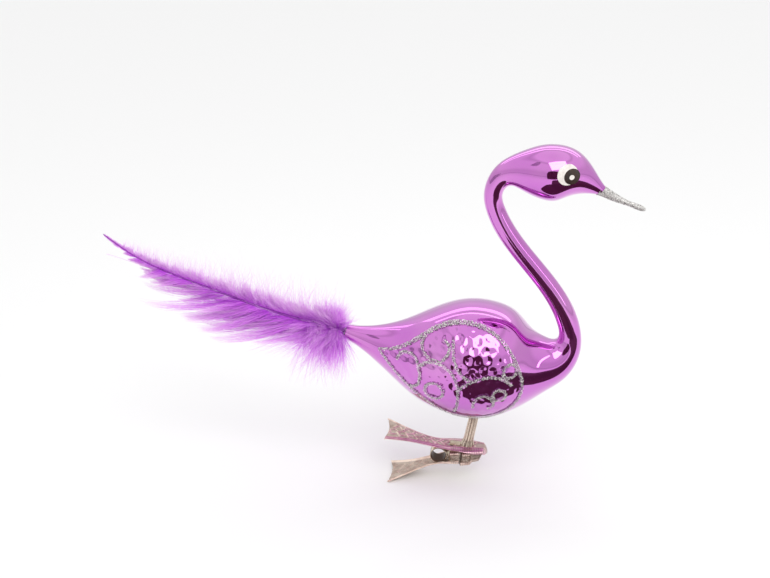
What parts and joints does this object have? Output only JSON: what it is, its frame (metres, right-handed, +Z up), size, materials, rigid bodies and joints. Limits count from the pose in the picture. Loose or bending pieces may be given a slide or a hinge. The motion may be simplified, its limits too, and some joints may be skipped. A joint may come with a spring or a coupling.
{
  "type": "blown glass swan clip ornament",
  "caption": "Hollow silvered purple glass swan with glitter beak and wing scrolls and a feather tail, on a stem with a sprung tin clip that grips a twig.",
  "frame": {"origin": "the point between the clip's jaws where a twig is gripped, on the middle plane", "axes": "+X forward to the beak, +Z up, +Y to the swan's left; the plane Y = 0 halves the swan"},
  "size_m": [0.1793, 0.041, 0.1217],
  "materials": {
    "purple_silvered_glass": "mirror-bright silvered glass under purple lacquer",
    "silver_glitter": "coarse silver glitter in clear glue",
    "white_paint": "gloss enamel",
    "black_paint": "gloss enamel",
    "feather_shaft": "dyed horn, satin",
    "feather_barbs": "dyed down, soft and matt",
    "clear_glue": "clear hot-melt glue, gloss",
    "rolled_tin": "bright tinplate, drawn lengthwise",
    "stamped_tin": "embossed tinplate, worn bright on the relief",
    "spring_strip": "polished spring strip"
  },
  "bodies": {
    "swan": {"glass_swan": "purple_silvered_glass", "beak_glitter": "silver_glitter", "eye_white_right": "white_paint", "eye_white_left": "white_paint", "eye_pupil_right": "black_paint", "eye_pupil_left": "black_paint", "eye_glint_right": "white_paint", "eye_glint_left": "white_paint", "wing_glitter_right": "silver_glitter", "wing_glitter_left": "silver_glitter", "feather_quill": "feather_shaft", "feather_fluff": "feather_barbs", "feather_vane_upper": "feather_barbs", "feather_vane_lower": "feather_barbs", "tail_glue_bead": "clear_glue", "belly_glue_bead": "clear_glue", "clip_stem": "rolled_tin", "clip_upper_lever": "stamped_tin", "clip_spring": "spring_strip"},
    "lower_lever": {"clip_lower_lever": "stamped_tin"}
  },
  "joints": [
    {"name": "clip_open", "type": "hinge", "parent": "swan", "child": "lower_lever", "pos_m": [-0.0149, 0, 0], "axis": [0, 1, 0], "range_deg": [0, 30], "stiffness_Nm_per_rad": 0.06, "springref_deg": -34.38, "deforming": ["clip_spring"]}
  ]
}
